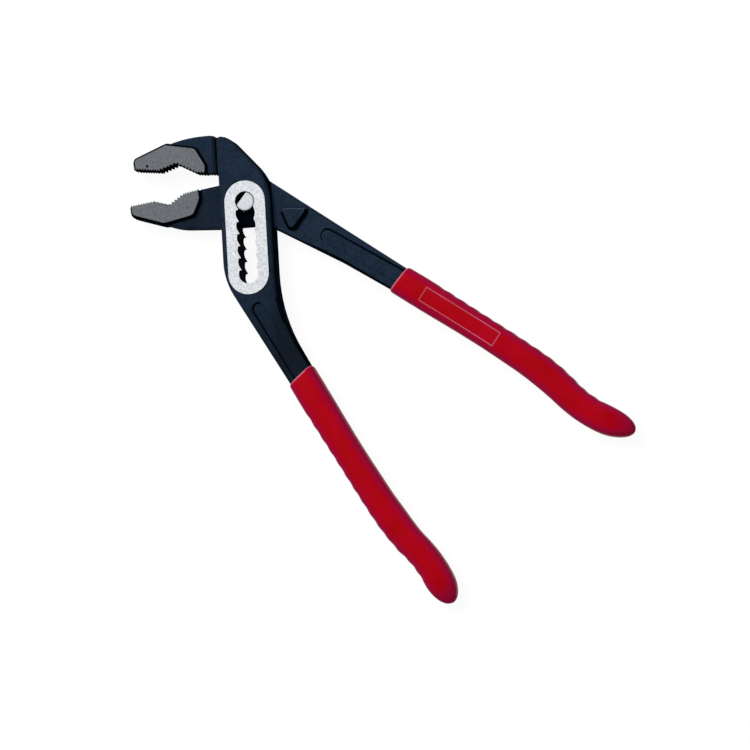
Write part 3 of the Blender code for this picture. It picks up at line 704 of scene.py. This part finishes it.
def grip_curve(name, line):
    """The handle's centre line as a curve through the middle of its height."""
    place = Vector((PIN_AXIS.x + line["mouth"][0], PIN_AXIS.y + line["mouth"][1]))
    heading = math.radians(line["heading"])
    points = [place.copy()]
    for share, degrees in line["bends"]:
        run = line["length"] * share
        count = max(1, round(run / LINE_STEP))
        for _ in range(count):
            heading += math.radians(degrees) / count / 2
            place = place + Vector((math.cos(heading), math.sin(heading))) * (run / count)
            heading += math.radians(degrees) / count / 2
            points.append(place.copy())
    curve = bpy.data.curves.new(name, "CURVE")
    curve.dimensions = "3D"
    curve.twist_mode = "Z_UP"
    spline = curve.splines.new("POLY")
    spline.points.add(len(points) - 1)
    for point, where in zip(spline.points, points):
        point.co = (where.x, where.y, MIDDLE_Z, 1)
    guide = bpy.data.objects.new(name, curve)
    bpy.context.scene.collection.objects.link(guide)
    return guide


def bend_along(piece, guide):
    """Bends a straight piece along a centre line."""
    apply_modifier(piece, "CURVE", object=guide, deform_axis="POS_X")


def drawn_tube(name, corner, segments, profile, sections):
    """A straight tube drawn out section by section along +X, and closed at its far end.

    A section is (distance, low, high, half height, turn): where it lies, how far it reaches to both sides and up,
    and how it slants."""
    put_down_all()
    bpy.ops.mesh.primitive_plane_add(size=1.0, location=(0, 0, 0), enter_editmode=True)
    piece = bpy.context.object
    piece.name = piece.data.name = name
    distance, low, high, half_height, turn = sections[0]
    bpy.ops.transform.rotate(value=math.pi / 2, orient_axis="Y", center_override=(0, 0, 0))
    bpy.ops.transform.resize(value=(1, high - low, half_height * 2), center_override=(0, 0, 0))
    bpy.ops.mesh.bevel(affect="VERTICES", offset=corner, segments=segments, profile=profile)
    bpy.ops.mesh.delete(type="ONLY_FACE")
    bpy.ops.mesh.select_all(action="SELECT")
    at, turned = 0.0, 0.0
    for index, (distance, low, high, half_height, turn) in enumerate(sections):
        if index:
            bpy.ops.mesh.extrude_region_move(TRANSFORM_OT_translate={"value": (distance - at, 0, 0)})
        if turn != turned:
            bpy.ops.transform.rotate(value=turn - turned, orient_axis="Z", center_override=(distance, 0, 0))
        was_low, was_high = chosen_box()
        across = (high - low) / (was_high.y - was_low.y)
        up = half_height / was_high.z
        bpy.ops.transform.resize(value=(1, across, up), center_override=(distance, was_low.y, 0))
        bpy.ops.transform.translate(value=(0, low - was_low.y, 0))
        at, turned = distance, turn
    bpy.ops.mesh.extrude_region_move(TRANSFORM_OT_translate={"value": (0, 0, 0)})
    bpy.ops.mesh.merge(type="CENTER")
    bpy.ops.object.mode_set(mode="OBJECT")
    return piece


def grip_section(settings, line, distance):
    """How far the skin reaches to the right and left of the centre line, and up, at a distance from the mouth."""
    half_width = settings.width / 2 * eased(GRIP_WIDTH_SHARES, distance / line["length"])
    into_cap = max(distance - (line["length"] - line["cap"]), 0) / line["cap"]
    closing = math.sqrt(max(1 - into_cap * into_cap, 0))
    count = int((line["length"] - line["cap"] - settings.rib_start) / settings.rib_pitch)
    phase = (distance - settings.rib_start) / settings.rib_pitch
    valley = settings.rib_depth * (1 - math.cos(2 * math.pi * phase)) / 2 if 0 < phase < count else 0.0
    low, high = -half_width * closing, half_width * closing
    if line["outward"] > 0:
        high -= valley
    else:
        low += valley
    return low, high, settings.height / 2 * closing


def mouth_turn(line, distance):
    """How a section slants with the grip's mouth, less and less with the distance from it."""
    return math.radians(line["slant"]) * line["outward"] * max(1 - distance / MOUTH_FADE, 0)


def skin_sections(settings, line):
    """Sections of a grip's outside, from its rounded lip to its closed end."""
    straight_end = line["length"] - line["cap"]
    count = round((straight_end - LIP_LENGTH) / SECTION_STEP)
    distances = [LIP_LENGTH * share for share in LIP_STEPS]
    distances += [LIP_LENGTH + (straight_end - LIP_LENGTH) * step / count for step in range(1, count + 1)]
    distances += [straight_end + line["cap"] * math.sin(math.pi / 2 * step / CAP_STEPS) for step in range(1, CAP_STEPS)]
    distances.append(line["length"] - END_HOLE)
    sections = []
    for distance in distances:
        low, high, half_height = grip_section(settings, line, distance)
        part = 1 - min(distance / LIP_LENGTH, 1)
        inset = LIP_INSET * (1 - math.sqrt(1 - part * part))
        sections.append((distance, low + inset, high - inset, half_height - inset, mouth_turn(line, distance)))
    return sections


def bore_sections(line):
    """Sections of the hollow that the tang fills, a little wider than it."""
    sections = []
    reach = line["length"] - END_WALL
    for step in range(BORE_STEPS + 1):
        distance = reach * step / BORE_STEPS
        half_width = (TANG_WIDTH + (TANG_END_WIDTH - TANG_WIDTH) * distance / line["length"]) / 2 + FIT_GAP
        sections.append((distance, -half_width, half_width, TANG_HEIGHT / 2 + FIT_GAP, mouth_turn(line, distance)))
    return sections


def straight_grip(name, line, settings):
    """One sleeve before bending: skin and bore drawn apart, joined, and bridged round the mouth."""
    skin = drawn_tube(name, settings.height / 2 - SKIN_FLAT, settings.corner_segments, settings.squareness,
                      skin_sections(settings, line))
    bore = drawn_tube(name + "_bore", TANG_CORNER, settings.corner_segments, 0.5, bore_sections(line))
    pick_up(skin)
    bore.select_set(True)
    bpy.ops.object.join()
    bpy.ops.object.mode_set(mode="EDIT")
    bpy.ops.mesh.select_all(action="DESELECT")
    bpy.ops.mesh.select_non_manifold(extend=False, use_wire=False, use_boundary=True, use_multi_face=False,
                                     use_non_contiguous=False, use_verts=False)
    bpy.ops.mesh.bridge_edge_loops()
    bpy.ops.mesh.select_all(action="SELECT")
    bpy.ops.mesh.normals_make_consistent(inside=False)
    bpy.ops.object.mode_set(mode="OBJECT")
    return skin


def raised_frame(name, grip, low, high):
    """The thin raised outline of an empty panel, laid on a straight grip between two corners."""
    put_down_all()
    bpy.ops.mesh.primitive_plane_add(size=1.0, location=(0, 0, 0), enter_editmode=True)
    piece = bpy.context.object
    piece.name = piece.data.name = name
    size = (high[0] - low[0], high[1] - low[1], 1)
    bpy.ops.transform.resize(value=size, center_override=(0, 0, 0))
    bpy.ops.transform.translate(value=((low[0] + high[0]) / 2, (low[1] + high[1]) / 2, FRAME_DROP))
    bpy.ops.mesh.inset(thickness=FRAME_WIDTH)
    bpy.ops.mesh.delete(type="FACE")
    bpy.ops.mesh.select_all(action="SELECT")
    bpy.ops.mesh.subdivide(number_cuts=FRAME_CUTS)
    bpy.ops.object.mode_set(mode="OBJECT")
    apply_modifier(piece, "SHRINKWRAP", target=grip, wrap_method="PROJECT", use_project_z=True,
                   use_negative_direction=True, use_positive_direction=False, offset=-FRAME_SINK)
    apply_modifier(piece, "SOLIDIFY", thickness=FRAME_HEIGHT, offset=1.0)
    apply_modifier(piece, "BEVEL", width=FRAME_BEVEL, segments=2, limit_method="ANGLE")
    return piece


def finish_grip(piece, body, guide, finishes, slope):
    """Colours a straight piece of a grip, with any second finish on its lip as a painted highlight, bends it into place
    and smooths it.

    The slope is that of the slanted mouth."""
    piece.data.materials.clear()
    for finish in finishes:
        piece.data.materials.append(finish)
    if finishes[1:]:
        for face in piece.data.polygons:
            face.material_index = int(face.center.x - face.center.y * slope < LIP_HIGHLIGHT_REACH)
    bend_along(piece, guide)
    pick_up(piece)
    bpy.ops.object.shade_smooth_by_angle(angle=math.radians(50))
    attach(piece, body)


# ---------------- operators


class PLIERS_OT_stage(Operator):
    """Lays the floor and puts up the lights and the camera."""

    bl_idname = "pliers.stage"
    bl_label = "Studio"

    def execute(self, context):
        studio = context.scene.pliers_studio
        context.scene.view_settings.view_transform = "Standard"
        self.add_floor(studio)
        self.add_room(studio)
        for name, place, size, share in LAMPS:
            self.add_lamp(name, place, size, studio.key_power * share)
        self.add_camera(studio)
        return {"FINISHED"}

    @staticmethod
    def rays(tree, *kinds):
        """1 for light rays of the given kinds and 0 for all others."""
        path = tree.nodes.new("ShaderNodeLightPath")
        share = path.outputs[kinds[0]]
        for kind in kinds[1:]:
            either = tree.nodes.new("ShaderNodeMath")
            either.operation = "MAXIMUM"
            tree.links.new(share, either.inputs[0])
            tree.links.new(path.outputs[kind], either.inputs[1])
            share = either.outputs[0]
        return share

    def add_floor(self, studio):
        """A pale floor that glows evenly where it is seen and still takes the shadows."""
        put_down_all()
        bpy.ops.mesh.primitive_plane_add(size=FLOOR_SIZE, location=(0, 0, FLOOR_Z))
        floor = bpy.context.object
        floor.name = floor.data.name = "studio_floor"
        material = bpy.data.materials.new("studio_floor")
        material.use_nodes = True
        tree = material.node_tree
        tree.nodes.clear()
        output = tree.nodes.new("ShaderNodeOutputMaterial")
        mix = tree.nodes.new("ShaderNodeMixShader")
        matt = tree.nodes.new("ShaderNodeBsdfDiffuse")
        glow = tree.nodes.new("ShaderNodeEmission")
        glow.inputs["Strength"].default_value = studio.floor_glow
        share = tree.nodes.new("ShaderNodeMath")
        share.operation = "MULTIPLY"
        share.inputs[1].default_value = studio.floor_glow_share
        bare = tree.nodes.new("ShaderNodeMix")
        bare.data_type = "RGBA"
        for socket, level in ((bare.inputs[6], studio.floor_lit), (bare.inputs[7], studio.floor_seen)):
            socket.default_value = (level, level, level, 1)
        seen = self.rays(tree, "Is Camera Ray", "Is Glossy Ray")
        tree.links.new(seen, share.inputs[0])
        tree.links.new(seen, bare.inputs[0])
        tree.links.new(bare.outputs[2], matt.inputs["Color"])
        tree.links.new(share.outputs[0], mix.inputs[0])
        tree.links.new(matt.outputs[0], mix.inputs[1])
        tree.links.new(glow.outputs[0], mix.inputs[2])
        tree.links.new(mix.outputs[0], output.inputs["Surface"])
        floor.data.materials.append(material)

    def add_room(self, studio):
        """White all round where it is seen, and a level light for everything else."""
        world = bpy.data.worlds.new("studio_room")
        bpy.context.scene.world = world
        world.use_nodes = True
        tree = world.node_tree
        tree.nodes.clear()
        output = tree.nodes.new("ShaderNodeOutputWorld")
        light = tree.nodes.new("ShaderNodeBackground")
        light.inputs["Color"].default_value = (1, 1, 1, 1)
        level = tree.nodes.new("ShaderNodeMapRange")
        level.inputs["To Min"].default_value = studio.fill_strength
        level.inputs["To Max"].default_value = 1.0
        seen = self.rays(tree, "Is Camera Ray", "Is Glossy Ray", "Is Transmission Ray")
        tree.links.new(seen, level.inputs["Value"])
        tree.links.new(level.outputs["Result"], light.inputs["Strength"])
        tree.links.new(light.outputs[0], output.inputs["Surface"])

    @staticmethod
    def add_lamp(name, place, size, power):
        """A square soft light that points at the tool."""
        data = bpy.data.lights.new(name, "AREA")
        data.shape = "SQUARE"
        data.size = size
        data.energy = power
        lamp = bpy.data.objects.new(name, data)
        bpy.context.scene.collection.objects.link(lamp)
        lamp.location = place
        lamp.rotation_euler = Vector(place).to_track_quat("Z", "Y").to_euler()

    @staticmethod
    def add_camera(studio):
        """The photo's camera: a long lens that leans a little from straight above."""
        away = Vector(studio.back).normalized()
        right = Vector(studio.up).normalized().cross(away).normalized()
        data = bpy.data.cameras.new("photo_camera")
        data.lens = studio.lens
        data.sensor_width = 36
        data.clip_start, data.clip_end = 0.1, 20
        camera = bpy.data.objects.new("photo_camera", data)
        bpy.context.scene.collection.objects.link(camera)
        turn = Matrix((right, away.cross(right), away)).transposed().to_4x4()
        camera.matrix_world = Matrix.Translation(Vector(studio.aim) + away * studio.distance) @ turn
        bpy.context.scene.camera = camera


class PLIERS_OT_outer_lever(Operator):
    """Makes the slotted lever: upper jaw, box, bright ring and the handle below it."""

    bl_idname = "pliers.outer_lever"
    bl_label = "Slotted lever"

    def execute(self, context):
        piece = merged_copy("outer_lever", "slotted_lever")
        draw_teeth_deeper(piece, UPPER_BITE)
        soften_panel_rims(piece, lambda place: PIN_AXIS.y - place.y > OUTER_PANEL_START)
        smooth_steel(piece)
        finishes = steel_finishes(context.scene.pliers_forging, "blued_box", OUTER_SHADE_FADES, STEP_SHADE_BANDS)
        give_finishes(piece, finishes, self.choose)
        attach(piece, "outer")
        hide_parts("outer_lever")
        return {"FINISHED"}

    @staticmethod
    def choose(centre, normal):
        """The finish of a face of the slotted lever."""
        rise = abs(centre.z - MIDDLE_Z)
        across = centre.x - PIN_AXIS.x
        along = PIN_AXIS.y - centre.y
        upright = abs(normal.z)
        if rise > TOOL_HEIGHT / 2 - RISE_SLACK and upright > NEARLY_LEVEL:
            return "ring"
        if abs(across) < SLOT_HALF_WIDTH and -SLOT_HALF_WIDTH < along < SLOT_LENGTH + SLOT_HALF_WIDTH:
            return "cut_and_shade" if upright < NEARLY_LEVEL else "blued"
        if across < UPPER_JAW_X and -along > UPPER_JAW_Y:
            if is_land(rise, normal):
                return "land_and_highlight"
            # The teeth, and the sloping walls of the raised jaw face and of the step by the box, take the dark finish;
            # on the walls it is painted shade.
            bite = normal.y < 0.03 and upright < PLUMB
            if bite or rise > WEB_RISE and upright < NEARLY_LEVEL:
                return "cut_and_shade"
        # Painted shade: the sunken panel's rim walls that face away from the main light are dark.
        panel_rim = along > HANDLE_START and rise > PANEL_RISE and PLUMB < upright < LEVEL
        if panel_rim and normal.dot(AWAY_FROM_LIGHT) > 0.1:
            return "cut_and_shade"
        return "cut_and_shade" if shaded_side(normal) else "blued"


class PLIERS_OT_inner_lever(Operator):
    """Makes the lever that passes through the box: lower jaw, neck, stop and handle."""

    bl_idname = "pliers.inner_lever"
    bl_label = "Inner lever"

    def execute(self, context):
        piece = merged_copy("inner_lever", "inner_lever_forging")
        draw_teeth_deeper(piece, LOWER_BITE)
        reshape_stop(piece)
        soften_panel_rims(piece, lambda place: place.x - PIN_AXIS.x > INNER_PANEL_START)
        for side in (-1, 1):
            cut_across(piece, (PIN_AXIS.x + side * BOX_HALF_WIDTH, 0, 0), (1, 0, 0))
        smooth_steel(piece)
        give_finishes(piece, steel_finishes(context.scene.pliers_forging, "blued_neck", INNER_SHADE_FADES), self.choose)
        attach(piece, "inner")
        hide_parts("inner_lever")
        return {"FINISHED"}

    @staticmethod
    def choose(centre, normal):
        """The finish of a face of the inner lever. The stop's upper bevel takes the bright jaw-face finish as a painted
        highlight.
        """
        rise = abs(centre.z - MIDDLE_Z)
        across = centre.x - PIN_AXIS.x
        upright = abs(normal.z)
        sloping = PLUMB < upright < LEVEL
        if across < LOWER_JAW_X:
            if is_land(rise, normal):
                return "land_and_highlight"
            # The teeth, and the sloping walls round the raised jaw face, take the dark finish; on the walls it is
            # painted shade.
            bite = normal.y > -0.03 and upright < PLUMB and across < JAW_ROOT_X
            if bite or rise > WEB_RISE - RISE_SLACK and PLUMB < upright < NEARLY_LEVEL:
                return "cut_and_shade"
        if rise < NECK_RISE + RISE_SLACK and abs(across) < BOX_HALF_WIDTH:
            return "cut_and_shade"
        # Painted shade: raised sloping faces that face away from the main light are dark.
        if rise > WEB_RISE and sloping and normal.dot(AWAY_FROM_LIGHT) > 0.1:
            return "cut_and_shade"
        # Painted highlight: the stop's upper bevel takes the bright jaw-face finish.
        if across > BOX_HALF_WIDTH and rise > LAND_RISE and sloping and normal.y > 0.2:
            return "land_and_highlight"
        # Painted shade: the handle's lower edges, facing down the picture, are dark.
        lower_edge = across > BOX_HALF_WIDTH and rise > EDGE_RISE and upright < LEVEL
        if lower_edge and normal.dot(DOWN_PICTURE) > 0.04:
            return "cut_and_shade"
        return "cut_and_shade" if shaded_side(normal) else "blued"


class PLIERS_OT_hinge_pin(Operator):
    """Makes the flatted hinge pin with its bright ends."""

    bl_idname = "pliers.hinge_pin"
    bl_label = "Hinge pin"

    def execute(self, context):
        forging = context.scene.pliers_forging
        piece = merged_copy("hinge_pin", "flatted_pin")
        smooth_steel(piece)
        finishes = {
            "end": kept("turned_end", turned_end, forging),
            "cut_and_shade": kept("cut_and_shaded_steel", cut_and_shaded_steel, forging),
        }
        give_finishes(piece, finishes, self.choose)
        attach(piece, "pin")
        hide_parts("hinge_pin")
        return {"FINISHED"}

    @staticmethod
    def choose(centre, normal):
        """The finish of a face of the pin: bright only on its ends and their bevels; elsewhere dark, which on the
        flats' lower ledges is painted shade.
        """
        return "end" if abs(normal.z) > 0.3 and abs(centre.z - MIDDLE_Z) > LAND_RISE else "cut_and_shade"


class PLIERS_OT_outer_grip(Operator):
    """Makes the dipped grip of the slotted lever."""

    bl_idname = "pliers.outer_grip"
    bl_label = "Outer grip"

    def execute(self, context):
        settings = context.scene.pliers_grips
        guide = grip_curve("outer_grip_line", OUTER_LINE)
        grip = straight_grip("dipped_outer_grip", OUTER_LINE, settings)
        finish_grip(grip, "outer", guide, vinyl_finishes(settings), math.tan(mouth_turn(OUTER_LINE, 0)))
        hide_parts("outer_grip")
        bpy.data.objects.remove(guide)
        return {"FINISHED"}


class PLIERS_OT_inner_grip(Operator):
    """Makes the dipped grip of the inner lever, with the raised outline of its empty panel."""

    bl_idname = "pliers.inner_grip"
    bl_label = "Inner grip"

    def execute(self, context):
        settings = context.scene.pliers_grips
        guide = grip_curve("inner_grip_line", INNER_LINE)
        grip = straight_grip("dipped_inner_grip", INNER_LINE, settings)
        outline = raised_frame("grip_panel_outline", grip, *FRAME_CORNERS)
        # The outline is painted pale: partly worn pale paint, partly painted highlight.
        raised = dipped_vinyl(settings, "raised_vinyl", settings.outline_paleness)
        finish_grip(grip, "inner", guide, vinyl_finishes(settings), math.tan(mouth_turn(INNER_LINE, 0)))
        finish_grip(outline, "inner", guide, (raised,), 0)
        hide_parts("inner_grip")
        bpy.data.objects.remove(guide)
        return {"FINISHED"}


class PLIERS_PT_sidebar(Panel):
    """Lists the pliers' pieces in the order in which they are made."""

    bl_idname = "PLIERS_PT_sidebar"
    bl_label = "Water pump pliers"
    bl_space_type = "VIEW_3D"
    bl_region_type = "UI"
    bl_category = "Pliers"

    def draw(self, context):
        layout = self.layout
        for operator in (PLIERS_OT_stage, *PIECE_OPERATORS):
            layout.operator(operator.bl_idname)
        for group in (context.scene.pliers_forging, context.scene.pliers_grips, context.scene.pliers_studio):
            box = layout.box()
            for name in group.bl_rna.properties.keys():
                if name not in {"rna_type", "name"}:
                    box.prop(group, name)


PIECE_OPERATORS = (
    PLIERS_OT_outer_lever,
    PLIERS_OT_inner_lever,
    PLIERS_OT_hinge_pin,
    PLIERS_OT_outer_grip,
    PLIERS_OT_inner_grip,
)
CLASSES = (ForgingSettings, GripSettings, StudioSettings, PLIERS_OT_stage, *PIECE_OPERATORS, PLIERS_PT_sidebar)


def register():
    for kind in CLASSES:
        bpy.utils.register_class(kind)
    bpy.types.Scene.pliers_forging = PointerProperty(type=ForgingSettings)
    bpy.types.Scene.pliers_grips = PointerProperty(type=GripSettings)
    bpy.types.Scene.pliers_studio = PointerProperty(type=StudioSettings)


def unregister():
    del bpy.types.Scene.pliers_studio
    del bpy.types.Scene.pliers_grips
    del bpy.types.Scene.pliers_forging
    for kind in reversed(CLASSES):
        bpy.utils.unregister_class(kind)


def main():
    register()
    bpy.ops.pliers.stage()
    bpy.ops.pliers.outer_lever()
    bpy.ops.pliers.inner_lever()
    bpy.ops.pliers.hinge_pin()
    bpy.ops.pliers.outer_grip()
    bpy.ops.pliers.inner_grip()
    put_down_all()


if __name__ == "__main__":
    main()
